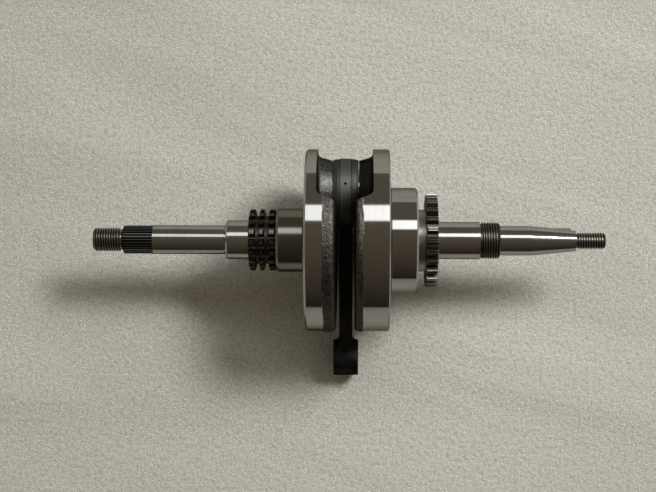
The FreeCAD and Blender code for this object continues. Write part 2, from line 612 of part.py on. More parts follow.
def connecting_rod():
    half_big = BIG_END_WIDTH / 2
    half_band = BIG_END_BAND / 2
    crown = BIG_END_RADIUS
    big_end = turned([(-half_big, crown - BIG_END_BEVEL), (-half_big + BIG_END_BEVEL_WIDTH, crown),
                      (-half_band, crown), (-half_band, crown + BIG_END_BAND_HEIGHT),
                      (half_band, crown + BIG_END_BAND_HEIGHT), (half_band, crown),
                      (half_big - BIG_END_BEVEL_WIDTH, crown), (half_big, crown - BIG_END_BEVEL)])
    small_end = cylinder(-SMALL_END_WIDTH / 2, SMALL_END_WIDTH / 2, SMALL_END_RADIUS, -ROD_LENGTH)

    width = SMALL_END_WIDTH + 2
    side = rod_side_outline().extrude(V(width, 0, 0))
    side.translate(V(-width / 2, 0, 0))
    side = side.fuse(side.mirror(V(0, 0, 0), V(0, 0, 1))).removeSplitter()
    height = 4 * BIG_END_RADIUS
    top = rod_top_outline().extrude(V(0, 0, height))
    top.translate(V(0, 0, -height / 2))
    top = top.fuse(top.mirror(V(0, 0, 0), X_AXIS)).removeSplitter()
    shank = side.common(top)
    hollow = beam_hollow()
    shank = without(shank, [hollow, hollow.mirror(V(0, 0, 0), X_AXIS)])

    rod = big_end.fuse([small_end, shank])
    bore = cylinder(-half_big - 1, half_big + 1, BIG_END_BORE)
    small_bore = cylinder(-SMALL_END_WIDTH, SMALL_END_WIDTH, SMALL_END_BORE, -ROD_LENGTH)
    angle = math.radians(OIL_HOLE_ANGLE)
    oil_hole = Part.makeCylinder(OIL_HOLE_RADIUS, 2 * BIG_END_RADIUS, V(0, 0, 0),
                                 V(0, -math.cos(angle), math.sin(angle)))
    small_oil_hole = Part.makeCylinder(SMALL_OIL_HOLE_RADIUS, 2 * SMALL_END_RADIUS,
                                       V(0, -ROD_LENGTH, 0), V(0, -1, 0))
    rod = without(rod, [bore, small_bore, oil_hole, small_oil_hole])
    for x, radius, y in ((half_big, BIG_END_BORE, 0), (SMALL_END_WIDTH / 2, SMALL_END_BORE, -ROD_LENGTH)):
        lead = turned([(x - BORE_LEAD, radius), (x, radius + BORE_LEAD), (x + 1, radius + BORE_LEAD)], y)
        rod = without(rod, [lead, lead.mirror(V(0, 0, 0), X_AXIS)])
    rod = one_solid(rod, "connecting_rod")
    rod.rotate(V(0, 0, 0), X_AXIS, ROD_TILT)
    rod.translate(PIN_CENTRE)
    return rod


# ---------------------------------------------------------------- big-end needle rollers
def big_end_needles():
    """The needle rollers, as a list."""
    left, right = ROD_X - NEEDLE_LENGTH / 2, ROD_X + NEEDLE_LENGTH / 2
    end_radius = NEEDLE_RADIUS - NEEDLE_ROUND
    roller = turned([(left, end_radius), (left + NEEDLE_ROUND, NEEDLE_RADIUS),
                     (right - NEEDLE_ROUND, NEEDLE_RADIUS), (right, end_radius)], THROW + NEEDLE_PITCH)
    return around(roller, NEEDLE_COUNT, PIN_CENTRE)


def big_end_cage():
    half = NEEDLE_CAGE_WIDTH / 2
    cage = tube(ROD_X - half, ROD_X + half, BIG_END_BORE - NEEDLE_CAGE_CLEARANCE,
                PIN_RADIUS + NEEDLE_CAGE_CLEARANCE, THROW)
    reach = NEEDLE_LENGTH / 2 + NEEDLE_POCKET_CLEARANCE
    pocket = cylinder(ROD_X - reach, ROD_X + reach, NEEDLE_RADIUS + NEEDLE_POCKET_CLEARANCE,
                      THROW + NEEDLE_PITCH)
    return one_solid(without(cage, around(pocket, NEEDLE_COUNT, PIN_CENTRE)), "big_end_cage")


# ---------------------------------------------------------------- left shaft's pieces
def roller_bearing_inner_ring():
    return ring([(RING_LEFT, RING_BORE), (RING_LEFT, RING_RADIUS - RING_CHAMFER),
                 (RING_LEFT + RING_LEAD, RING_RADIUS), (RING_RIGHT - RING_CHAMFER, RING_RADIUS),
                 (RING_RIGHT, RING_RADIUS - RING_CHAMFER), (RING_RIGHT, RING_BORE)])


def timing_sprocket():
    """Three rows of teeth on one hub; the rows share their tooth gaps."""
    profile = [(RING_LEFT, SPROCKET_SEAT), (RING_LEFT, SPROCKET_HUB)]
    x = RING_LEFT - SPROCKET_HUB_WIDTH
    profile.append((x, SPROCKET_HUB))
    shoulder = SPROCKET_RADIUS - ROW_TAPER_HEIGHT
    for row, width in enumerate(ROW_WIDTHS):
        floor = SPROCKET_HUB if row == 0 else SPROCKET_FLOOR
        profile += [(x, floor), (x, shoulder), (x - ROW_TAPER, SPROCKET_RADIUS)]
        x -= width
        profile += [(x + ROW_TAPER, SPROCKET_RADIUS), (x, shoulder)]
        if row < len(ROW_GAPS):
            profile.append((x, SPROCKET_FLOOR))
            x -= ROW_GAPS[row]
    profile.append((x, SPROCKET_SEAT))
    unique = [profile[0]] + [b for a, b in zip(profile, profile[1:]) if a != b]
    blank = ring(unique)

    seat = VALLEY_BOTTOM + VALLEY_RADIUS
    top = SPROCKET_RADIUS + 1
    top_half = VALLEY_RADIUS + (top - seat) * VALLEY_OPENING
    left, right = SPROCKET_LEFT - 1, RING_LEFT - SPROCKET_HUB_WIDTH
    low_seat, high_seat = V(left, seat, -VALLEY_RADIUS), V(left, seat, VALLEY_RADIUS)
    low_top, high_top = V(left, top, -top_half), V(left, top, top_half)
    edges = [
        Part.Arc(low_seat, V(left, VALLEY_BOTTOM, 0), high_seat).toShape(),
        Part.LineSegment(high_seat, high_top).toShape(),
        Part.LineSegment(high_top, low_top).toShape(),
        Part.LineSegment(low_top, low_seat).toShape(),
    ]
    valley = Part.Face(Part.Wire(edges)).extrude(V(right - left, 0, 0))
    first = 360.0 / TOOTH_COUNT / 4
    return one_solid(without(blank, around(valley, TOOTH_COUNT, first=first)), "timing_sprocket")


# ---------------------------------------------------------------- ball bearing
def ball_bearing_outer_ring():
    body = ring([(BEARING_LEFT, OUTER_SHOULDER), (BEARING_LEFT, BEARING_RADIUS - BEARING_CHAMFER),
                 (BEARING_LEFT + BEARING_CHAMFER, BEARING_RADIUS),
                 (BEARING_RIGHT - BEARING_CHAMFER, BEARING_RADIUS),
                 (BEARING_RIGHT, BEARING_RADIUS - BEARING_CHAMFER), (BEARING_RIGHT, OUTER_SHOULDER)])
    return body.cut(ball_track())


def ball_bearing_inner_ring():
    chamfered = BEARING_BORE + RACE_CHAMFER
    body = ring([(BEARING_LEFT, chamfered), (BEARING_LEFT, INNER_SHOULDER),
                 (BEARING_RIGHT, INNER_SHOULDER), (BEARING_RIGHT, chamfered),
                 (BEARING_RIGHT - RACE_CHAMFER, BEARING_BORE), (BEARING_LEFT + RACE_CHAMFER, BEARING_BORE)])
    return body.cut(ball_track())


def ball_track():
    return Part.makeTorus(BALL_PITCH, BALL_RADIUS + BALL_CLEARANCE, V(0, 0, 0), X_AXIS)


def ball_bearing_balls():
    """The balls, as a list."""
    return around(Part.makeSphere(BALL_RADIUS, V(0, BALL_PITCH, 0)), BALL_COUNT)


def rivet_angle():
    return 180.0 / BALL_COUNT


def ball_cage_half(side):
    """One pressed half of the ball cage: flat between the balls and domed over each ball."""
    clear = BALL_RADIUS + CAGE_BALL_CLEARANCE
    balls = around(Part.makeSphere(clear, V(0, BALL_PITCH, 0)), BALL_COUNT)
    domes = around(Part.makeSphere(clear + CAGE_SHEET, V(0, BALL_PITCH, 0)), BALL_COUNT)
    band = tube(0, clear + 2 * CAGE_SHEET, CAGE_OUTER, CAGE_INNER)
    plate = tube(0, CAGE_SHEET, CAGE_OUTER, CAGE_INNER)
    holes = around(cylinder(-1, 2, RIVET_RADIUS, BALL_PITCH), BALL_COUNT, first=rivet_angle())
    half = plate.fuse([band.common(d) for d in domes])
    half = without(without(half, balls), holes)
    if side < 0:
        half = half.mirror(V(0, 0, 0), X_AXIS)
    return one_solid(half, "ball_cage_half")


def ball_cage_rivets():
    reach = CAGE_SHEET
    shank = cylinder(-reach, reach, RIVET_RADIUS, BALL_PITCH)
    head = turned([(reach, RIVET_HEAD_RADIUS), (reach + RIVET_HEAD, RIVET_CROWN_RADIUS)], BALL_PITCH)
    rivet = shank.fuse([head, head.mirror(V(0, 0, 0), X_AXIS)]).removeSplitter()
    return Part.makeCompound(around(rivet, BALL_COUNT, first=rivet_angle()))


# ---------------------------------------------------------------- right shaft's pieces
def gear_key_block(clearance):
    """The gear's key, or with a clearance the seat for it."""
    middle = BEARING_RIGHT + (GEAR_RIGHT - BEARING_RIGHT) / 2
    half_x = GEAR_KEY_LENGTH / 2 + clearance
    half_z = GEAR_KEY_WIDTH / 2 + clearance
    return box((middle - half_x, GEAR_SEAT - GEAR_KEY_DEPTH - clearance, -half_z),
               (middle + half_x, GEAR_SEAT + GEAR_KEY_PROUD + clearance, half_z))


def flywheel_key_disc(clearance, extra=0.0):
    """The flywheel's half-moon key, or with a clearance the seat for it, open upwards by extra."""
    radius = FLY_KEY_RADIUS + clearance
    centre_y = FLY_KEY_TOP - FLY_KEY_HEIGHT + FLY_KEY_RADIUS
    half_z = FLY_KEY_WIDTH / 2 + clearance
    disc = Part.makeCylinder(radius, 2 * half_z, V(FLY_KEY_X, centre_y, -half_z), V(0, 0, 1))
    top = FLY_KEY_TOP + extra
    keep = box((FLY_KEY_X - radius - 1, centre_y - radius - 1, -half_z - 1),
               (FLY_KEY_X + radius + 1, top, half_z + 1))
    return disc.common(keep)


def involute_flank(base, start, stop, steps=5):
    """Points of an involute from one radius to another, as (radius, angle) with angle 0 at the base."""
    points = []
    for i in range(steps):
        radius = max(start + (stop - start) * i / (steps - 1), base)
        pressure = math.acos(base / radius)
        points.append((radius, math.tan(pressure) - pressure))
    return points


def gear_tooth_gap():
    """The space between two teeth, as a prism to cut from the blank."""
    pitch_radius = GEAR_MODULE * GEAR_TEETH / 2
    base = pitch_radius * math.cos(math.radians(PRESSURE_ANGLE))
    root = pitch_radius - 1.25 * GEAR_MODULE
    top = GEAR_TIP_RADIUS + 0.5
    pressure = math.radians(PRESSURE_ANGLE)
    at_pitch = math.tan(pressure) - pressure
    half_gap = (math.pi / GEAR_TEETH + GEAR_BACKLASH / pitch_radius) / 2
    start = max(base, root)
    flank = [(radius, half_gap + angle - at_pitch) for radius, angle in involute_flank(base, start, top)]

    def place(radius, angle):
        return V(GEAR_LEFT - 1, radius * math.cos(angle), radius * math.sin(angle))

    left_points = [place(r, -a) for r, a in flank]
    right_points = [place(r, a) for r, a in flank]
    left = Part.BSplineCurve()
    left.interpolate(left_points)
    right = Part.BSplineCurve()
    right.interpolate(right_points)
    root_half = flank[0][1] * GEAR_ROOT_SHARE
    foot_left, foot_right = place(root, -root_half), place(root, root_half)
    edges = [
        Part.LineSegment(foot_left, left_points[0]).toShape(),
        left.toShape(),
        Part.LineSegment(left_points[-1], right_points[-1]).toShape(),
        right.toShape(),
        Part.LineSegment(right_points[0], foot_right).toShape(),
        Part.Arc(foot_right, place(root, 0), foot_left).toShape(),
    ]
    return Part.Face(Part.Wire(Part.__sortEdges__(edges))).extrude(V(GEAR_WIDTH + 2, 0, 0))


def pump_drive_gear():
    tip = GEAR_TIP_RADIUS
    blank = ring([(BEARING_RIGHT, GEAR_SEAT), (BEARING_RIGHT, GEAR_HUB_RADIUS - 0.5),
                  (BEARING_RIGHT + 0.5, GEAR_HUB_RADIUS), (GEAR_LEFT, GEAR_HUB_RADIUS),
                  (GEAR_LEFT, tip - GEAR_TIP_CHAMFER), (GEAR_LEFT + GEAR_TIP_CHAMFER, tip),
                  (GEAR_RIGHT - GEAR_TIP_CHAMFER, tip), (GEAR_RIGHT, tip - GEAR_TIP_CHAMFER),
                  (GEAR_RIGHT, GEAR_SEAT)])
    gaps = around(gear_tooth_gap(), GEAR_TEETH)
    gear = without(blank, gaps + [gear_key_block(KEY_CLEARANCE)])
    return one_solid(gear, "pump_drive_gear")


# ---------------------------------------------------------------- the nodes
def all_nodes():
    """Every node's shape, under its name."""
    nodes = {
        "left_half_crank": left_half_crank(),
        "right_half_crank": right_half_crank(),
        "crank_pin": crank_pin(),
        "pin_plug_left": pin_plug(PIN_LEFT, -1),
        "pin_plug_right": pin_plug(PIN_RIGHT, 1),
        "connecting_rod": connecting_rod(),
        "big_end_cage": big_end_cage(),
        "roller_bearing_inner_ring": roller_bearing_inner_ring(),
        "timing_sprocket": timing_sprocket(),
        "ball_bearing_outer_ring": ball_bearing_outer_ring(),
        "ball_bearing_inner_ring": ball_bearing_inner_ring(),
        "ball_cage_left_half": ball_cage_half(-1),
        "ball_cage_right_half": ball_cage_half(1),
        "ball_cage_rivets": ball_cage_rivets(),
        "pump_drive_gear": pump_drive_gear(),
        "gear_key": gear_key_block(0),
        "flywheel_key": flywheel_key_disc(0),
    }
    for number, ball in enumerate(ball_bearing_balls(), 1):
        nodes[f"bearing_ball_{number}"] = ball
    for number, needle in enumerate(big_end_needles(), 1):
        nodes[f"big_end_needle_{number:02d}"] = needle
    return nodes


os.makedirs("parts", exist_ok=True)
for name, shape in all_nodes().items():
    if not shape.isValid():
        raise ValueError(f"{name} isn't valid")
    shape.exportStep(f"parts/{name}.step")
    print(f"{name}: {len(shape.Solids)} solids, {shape.Volume:.1f} mm3")
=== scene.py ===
"""Looks for a built-up scooter crankshaft, lying on a pale sheet and seen from straight above.

X runs along the crank axis from the pulley end to the flywheel end, +Y points to the crank pin and
+Z is up. Lengths are in metres.
"""
import math

import bpy
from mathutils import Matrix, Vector


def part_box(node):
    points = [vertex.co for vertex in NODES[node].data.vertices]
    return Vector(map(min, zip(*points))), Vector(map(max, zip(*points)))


MM = 0.001

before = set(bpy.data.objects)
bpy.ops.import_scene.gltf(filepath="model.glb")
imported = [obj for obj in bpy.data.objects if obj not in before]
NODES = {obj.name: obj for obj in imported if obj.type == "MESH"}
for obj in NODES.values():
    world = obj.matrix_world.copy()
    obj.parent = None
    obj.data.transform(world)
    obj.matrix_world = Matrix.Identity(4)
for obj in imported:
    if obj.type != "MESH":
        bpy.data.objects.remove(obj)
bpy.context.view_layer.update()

# ------------------------------------------------------------------ places, all read from model.glb
PIN_LOW, PIN_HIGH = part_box("crank_pin")
ROD_LOW, ROD_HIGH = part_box("connecting_rod")
LEFT_LOW, LEFT_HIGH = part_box("left_half_crank")
SPROCKET_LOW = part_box("timing_sprocket")[0]
GEAR_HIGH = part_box("pump_drive_gear")[1]
PIN_Y = (PIN_LOW.y + PIN_HIGH.y) / 2
ROD_X = (ROD_LOW.x + ROD_HIGH.x) / 2
FLOOR_Z = LEFT_LOW.z
RIM_RADIUS = LEFT_HIGH.z - 0.3 * MM

# stretches along the X axis
SPLINE = (-164.7 * MM, -146.6 * MM)
M14_END = -165.5 * MM
M22 = (44.8 * MM, 56.5 * MM)
M10_START = 101.3 * MM
GEAR_TOOTH_WIDTH = 6.6 * MM
SPROCKET_TEETH = 18
SPROCKET_TIP = 18.0 * MM
GEAR_TEETH = 26
GEAR_TIP = 27.5 * MM


# ------------------------------------------------------------------ node-tree helper
class Tree:
    """Short names for the nodes that the materials use."""

    def __init__(self, tree):
        self.tree = tree
        self.nodes = tree.nodes
        self.links = tree.links

    def add(self, kind, inputs=(), **settings):
        node = self.nodes.new(kind)
        for key, value in settings.items():
            setattr(node, key, value)
        for key, value in dict(inputs).items():
            self.put(node.inputs[key], value)
        return node

    def put(self, socket, value):
        if isinstance(value, bpy.types.NodeSocket):
            self.links.new(value, socket)
        else:
            socket.default_value = value

    def math(self, operation, a, b=0.0, c=0.0, clamp=False):
        node = self.add("ShaderNodeMath", {0: a, 1: b, 2: c}, operation=operation, use_clamp=clamp)
        return node.outputs[0]

    def position(self):
        """The object's own coordinates, in metres, as x, y, z and the whole vector."""
        vector = self.add("ShaderNodeTexCoord").outputs["Object"]
        split = self.add("ShaderNodeSeparateXYZ", {0: vector})
        return split.outputs[0], split.outputs[1], split.outputs[2], vector

    def end_face(self):
        """1 on faces square to the X axis, 0 elsewhere."""
        normal = self.add("ShaderNodeTexCoord").outputs["Normal"]
        along_x = self.math("ABSOLUTE", self.add("ShaderNodeSeparateXYZ", {0: normal}).outputs[0])
        return self.remap(along_x, 0.9, 0.97, 0.0, 1.0)

    def radius(self, y, z):
        squares = self.math("ADD", self.math("MULTIPLY", y, y), self.math("MULTIPLY", z, z))
        return self.math("SQRT", squares)

    def step(self, value, edge, soft=0.1 * MM):
        """0 below the edge and 1 above it."""
        return self.math("DIVIDE", self.math("SUBTRACT", value, edge - soft), 2 * soft, clamp=True)

    def between(self, value, low, high, soft=0.1 * MM):
        above_low = self.step(value, low, soft)
        below_high = self.invert(self.step(value, high, soft))
        return self.both(above_low, below_high)

    def either(self, a, b):
        return self.math("MAXIMUM", a, b)

    def both(self, a, b):
        return self.math("MULTIPLY", a, b)

    def invert(self, a):
        return self.math("SUBTRACT", 1.0, a)

    def noise(self, vector, scale, detail=4.0, rough=0.55, distortion=0.0):
        node = self.add("ShaderNodeTexNoise", {"Vector": vector, "Scale": scale, "Detail": detail,
                                               "Roughness": rough, "Distortion": distortion})
        return node.outputs[0]

    def stretched(self, x, y, z, scales):
        """Coordinates stretched by a factor along each axis."""
        parts = [self.math("MULTIPLY", value, scale) for value, scale in zip((x, y, z), scales)]
        return self.add("ShaderNodeCombineXYZ", {0: parts[0], 1: parts[1], 2: parts[2]}).outputs[0]

    def remap(self, value, low, high, to_low, to_high):
        node = self.add("ShaderNodeMapRange", {0: value, 1: low, 2: high, 3: to_low, 4: to_high})
        return node.outputs[0]

    def mix(self, factor, a, b):
        """A mix of two numbers."""
        node = self.add("ShaderNodeMix", data_type="FLOAT")
        self.put(node.inputs[0], factor)
        self.put(node.inputs[2], a)
        self.put(node.inputs[3], b)
        return node.outputs[0]

    def mix_color(self, factor, a, b):
        node = self.add("ShaderNodeMix", data_type="RGBA")
        self.put(node.inputs[0], factor)
        self.put(node.inputs[6], as_color(a))
        self.put(node.inputs[7], as_color(b))
        return node.outputs[2]

    def bump(self, height, distance, normal=None, strength=1.0):
        node = self.add("ShaderNodeBump", {"Height": height, "Distance": distance, "Strength": strength})
        if normal is not None:
            self.links.new(normal, node.inputs["Normal"])
        return node.outputs[0]


def as_color(value):
    return value if isinstance(value, bpy.types.NodeSocket) else (*value, 1.0)


def new_material(name):
    material = bpy.data.materials.new(name)
    material.use_nodes = True
    tree = Tree(material.node_tree)
    shader = material.node_tree.nodes["Principled BSDF"]
    return material, tree, shader


def finish_material(tree, shader, color, roughness, normal, metallic=1.0, grazing=(0.32, 0.30, 0.265)):
    tree.put(shader.inputs["Base Color"], as_color(color))
    tree.put(shader.inputs["Roughness"], roughness)
    tree.put(shader.inputs["Metallic"], metallic)
    tree.put(shader.inputs["Specular Tint"], as_color(grazing))
    if normal is not None:
        tree.links.new(normal, shader.inputs["Normal"])


# ------------------------------------------------------------------ surface recipes
GROUND = (0.50, 0.495, 0.48)
FORGED = (0.085, 0.079, 0.068)
# colour of the bright dots painted on the forging as glints
FORGED_GLINT = (0.60, 0.58, 0.54)


def turning_marks(t, x, y, z):
    """Fine rings round the X axis, as grinding and turning leave.

    They follow one another along X on round surfaces and along the radius on end faces.
    """
    across = t.mix(t.end_face(), x, t.radius(y, z))
    fine = t.noise(t.stretched(across, y, z, (9000, 60, 60)), 1.0, 3.0)
    coarse = t.noise(t.stretched(across, y, z, (1600, 25, 25)), 1.0, 2.0)
    return t.math("ADD", t.math("MULTIPLY", fine, 0.6), t.math("MULTIPLY", coarse, 0.4))


def scale_height(t, vector):
    """The lumpy skin of a blasted forging."""
    coarse = t.noise(vector, 420, 3.0, 0.6, 0.6)
    fine = t.noise(vector, 1700, 4.0, 0.65)
    return t.math("ADD", t.math("MULTIPLY", coarse, 0.62), t.math("MULTIPLY", fine, 0.38))


def crank_material(name, side):
    """Half crank: ground shafts and rim, raw forging between the webs, thread and spline with painted
    shade in their roots and painted highlight on their crests.

    side is -1 for the pulley half and 1 for the flywheel half.
    """
    material, t, shader = new_material(name)
    x, y, z, vector = t.position()
    r = t.radius(y, z)
    out = t.math("MULTIPLY", t.math("SUBTRACT", x, ROD_X), float(side))
    wobble = t.math("MULTIPLY", t.math("SUBTRACT", t.noise(vector, 240, 2.0), 0.5), 2.2 * MM)
    out_wobbled = t.math("ADD", out, wobble)
    rim_edge = (12.6 if side < 0 else 10.3) * MM
    floor_edge = (16.7 if side < 0 else 16.2) * MM
    in_band = t.invert(t.step(out_wobbled, rim_edge, 0.25 * MM))
    in_recess = t.both(t.invert(t.step(out, floor_edge)), t.invert(t.step(r, RIM_RADIUS - 0.4 * MM)))
    forged = t.either(in_band, in_recess)

    marks = turning_marks(t, x, y, z)
    skin = scale_height(t, vector)
    stain = t.noise(vector, 70, 5.0, 0.6)
    glint_speck = t.remap(t.noise(vector, 3000, 2.0), 0.57, 0.66, 0.0, 1.0)
    pit = t.remap(t.noise(vector, 1900, 3.0), 0.43, 0.53, 0.0, 1.0)
    streak = t.noise(t.stretched(x, y, z, (2200, 40, 40)), 1.0, 2.0)

    ground = t.mix_color(t.remap(streak, 0.35, 0.7, 0.0, 0.35), GROUND, (0.40, 0.395, 0.38))
    ground = t.mix_color(t.remap(stain, 0.52, 0.75, 0.0, 0.22), ground, (0.30, 0.28, 0.25))
    skin_color = t.mix_color(pit, (0.014, 0.013, 0.011), FORGED)
    # painted glints: bright dots scattered over the forged skin
    skin_color = t.mix_color(t.both(glint_speck, 0.8), skin_color, FORGED_GLINT)
    # painted shade: the flywheel half's recess gets a near-black colour, the pulley half's grey is its lit
    # tone
    recess_tone_and_shade = (0.115, 0.118, 0.11) if side < 0 else (0.03, 0.03, 0.029)
    if side < 0:
        cracks = t.remap(t.noise(vector, 650, 4.0, 0.7, 1.2), 0.40, 0.47, 0.0, 1.0)
        recess_tone_and_shade = t.mix_color(cracks, (0.02, 0.02, 0.018), recess_tone_and_shade)
    skin_color = t.mix_color(t.both(in_recess, 0.85), skin_color, recess_tone_and_shade)
    color = t.mix_color(forged, ground, skin_color)

    ground_rough = t.mix(t.remap(marks, 0.3, 0.7, 0.0, 1.0), 0.05, 0.11)
    on_shaft = t.invert(t.step(r, 0.3 * RIM_RADIUS))
    ground_rough = t.math("ADD", ground_rough, t.both(on_shaft, 0.05))
    faced = t.end_face()
    ground_rough = t.math("ADD", ground_rough, t.both(faced, 0.14))
    skin_rough = t.mix(t.remap(skin, 0.3, 0.7, 0.0, 1.0), 0.5, 0.3)
    roughness = t.mix(forged, ground_rough, skin_rough)

    marks_depth = t.mix(faced, 0.0015 * MM, 0.006 * MM)
    normal = t.bump(marks, t.mix(forged, marks_depth, 0.0))
    recess_depth = (0.45 if side < 0 else 0.18) * MM
    skin_depth = t.mix(forged, 0.0, t.mix(in_recess, 0.6 * MM, recess_depth))
    normal = t.bump(skin, skin_depth, normal)

    if side < 0:
        # painted shade and highlight: the spline's roots are near black and its tips lighter
        spline = t.between(x, SPLINE[0], SPLINE[1], 0.05 * MM)
        tips = t.step(r, 8.22 * MM, 0.06 * MM)
        spline_shade_and_highlight = t.mix_color(tips, (0.012, 0.014, 0.013), (0.17, 0.19, 0.185))
        color = t.mix_color(spline, color, spline_shade_and_highlight)
        roughness = t.mix(spline, roughness, 0.36)
        # painted shade and highlight: the thread's roots are dark and its crests bright
        thread = t.invert(t.step(x, M14_END))
        crest = t.step(r, 6.75 * MM, 0.1 * MM)
        thread_shade_and_highlight = t.mix_color(crest, (0.15, 0.142, 0.125), (0.66, 0.64, 0.60))
        color = t.mix_color(thread, color, thread_shade_and_highlight)
        roughness = t.mix(thread, roughness, 0.28)
    else:
        # painted shade and highlight: the thread's roots are dark and its crests bright
        ring_thread = t.between(x, M22[0], M22[1], 0.05 * MM)
        crest = t.step(r, 10.6 * MM, 0.1 * MM)
        thread_shade_and_highlight = t.mix_color(crest, (0.11, 0.10, 0.082), (0.40, 0.38, 0.34))
        color = t.mix_color(ring_thread, color, thread_shade_and_highlight)
        roughness = t.mix(ring_thread, roughness, 0.34)
        # painted shade and highlight: the thread's roots are dark and its crests bright
        thread = t.step(x, M10_START)
        crest = t.step(r, 4.75 * MM, 0.1 * MM)
        thread_shade_and_highlight = t.mix_color(crest, (0.14, 0.135, 0.12), (0.58, 0.565, 0.53))
        color = t.mix_color(thread, color, thread_shade_and_highlight)
        roughness = t.mix(thread, roughness, 0.3)
    finish_material(t, shader, color, roughness, normal)
    return material


def polished_material(name, tint, low, high, marks_depth=0.001 * MM):
    """Ground and polished bearing steel."""
    material, t, shader = new_material(name)
    x, y, z, vector = t.position()
    marks = turning_marks(t, x, y, z)
    smear = t.noise(vector, 90, 4.0)
    color = t.mix_color(t.remap(smear, 0.5, 0.75, 0.0, 0.3), tint, tuple(0.72 * c for c in tint))
    roughness = t.mix(t.remap(marks, 0.3, 0.7, 0.0, 1.0), low, high)
    faced = t.end_face()
    roughness = t.math("ADD", roughness, t.both(faced, 0.08))
    depth = t.mix(faced, marks_depth, 4 * marks_depth)
    finish_material(t, shader, color, roughness, t.bump(marks, depth))
    return material


def rod_material():
    """Near-black blasted forging; the big end's crown is turned and a little brighter."""
    material, t, shader = new_material("rod_blackened_forging")
    x, y, z, vector = t.position()
    r = t.radius(t.math("SUBTRACT", y, PIN_Y), z)
    crown = t.step(r, 17.9 * MM, 0.2 * MM)
    crown = t.both(crown, t.invert(t.step(r, 19.3 * MM, 0.2 * MM)))
    skin = t.noise(vector, 1500, 4.0, 0.6)
    blotch = t.noise(vector, 130, 4.0)
    rings = t.noise(t.stretched(x, y, z, (3800, 90, 90)), 1.0, 2.0)
    color = t.mix_color(t.remap(blotch, 0.35, 0.7, 0.0, 1.0), (0.022, 0.023, 0.024), (0.05, 0.051, 0.051))
    ring_shade = t.remap(rings, 0.35, 0.65, 0.0, 1.0)
    crown_color = t.mix_color(ring_shade, (0.075, 0.078, 0.072), (0.115, 0.12, 0.112))
    aside = t.math("ABSOLUTE", t.math("SUBTRACT", x, ROD_X))
    band = t.invert(t.step(aside, 3.1 * MM, 0.12 * MM))
    crown_color = t.mix_color(t.both(band, 0.7), crown_color, (0.17, 0.175, 0.165))
    # painted shade: dark lines at the edges of the raised band's steps
    band_edge_shade = t.between(aside, 3.1 * MM, 3.5 * MM, 0.1 * MM)
    crown_color = t.mix_color(t.both(band_edge_shade, 0.8), crown_color, (0.02, 0.021, 0.02))
    color = t.mix_color(crown, color, crown_color)
    skin_rough = t.remap(skin, 0.3, 0.7, 0.55, 0.42)
    crown_rough = t.remap(rings, 0.3, 0.7, 0.62, 0.5)
    roughness = t.mix(crown, skin_rough, crown_rough)
    normal = t.bump(skin, 0.06 * MM)
    normal = t.bump(t.both(rings, crown), 0.03 * MM, normal)
    finish_material(t, shader, color, roughness, normal)
    return material


def dark_toothed_material(name, teeth, tip_radius, tip_half, dark, bright, glint, edge, hub_end):
    """Dark oxide with worn tooth tips and painted glints along the tooth edges; a tooth's gap lies on the
    +Y axis.

    tip_half is half of the gap's width at the tips, as a share of the pitch. Left of hub_end the
    metal has no oxide.
    """
    material, t, shader = new_material(name)
    x, y, z, vector = t.position()
    r = t.radius(y, z)
    wear = t.noise(vector, 900, 3.0)
    tips = t.step(t.math("ADD", r, t.math("MULTIPLY", t.math("SUBTRACT", wear, 0.5), 0.8 * MM)),
                  tip_radius - edge, 0.25 * MM)
    blotch = t.noise(vector, 260, 4.0)
    base = t.mix_color(t.remap(blotch, 0.35, 0.7, 0.0, 1.0), dark, tuple(1.8 * c for c in dark))
    color = t.mix_color(tips, base, bright)
    turns = t.math("MULTIPLY", t.math("ARCTAN2", z, y), teeth / (2 * math.pi))
    from_gap = t.math("PINGPONG", t.math("ADD", turns, float(teeth)), 0.5)
    # painted glints: thin bright lines along the tooth edges near the tips
    edge_glint = t.both(t.between(from_gap, tip_half - 0.028, tip_half + 0.028, 0.01),
                  t.step(r, tip_radius - 2 * edge, 0.1 * MM))
    color = t.mix_color(edge_glint, color, glint)
    hub = t.invert(t.step(x, hub_end))
    color = t.mix_color(hub, color, (0.42, 0.41, 0.38))
    roughness = t.mix(tips, t.remap(blotch, 0.3, 0.7, 0.44, 0.32), 0.24)
    finish_material(t, shader, color, roughness, t.bump(wear, 0.02 * MM))
    return material


def plain_steel(name, tint, rough, depth=0.01 * MM):
    material, t, shader = new_material(name)
    vector = t.position()[3]
    grain = t.noise(vector, 1800, 3.0)
    blotch = t.noise(vector, 200, 3.0)
    color = t.mix_color(t.remap(blotch, 0.4, 0.7, 0.0, 0.5), tint, tuple(0.6 * c for c in tint))
    roughness = t.remap(grain, 0.3, 0.7, rough * 0.8, rough * 1.25)
    finish_material(t, shader, color, roughness, t.bump(grain, depth))
    return material


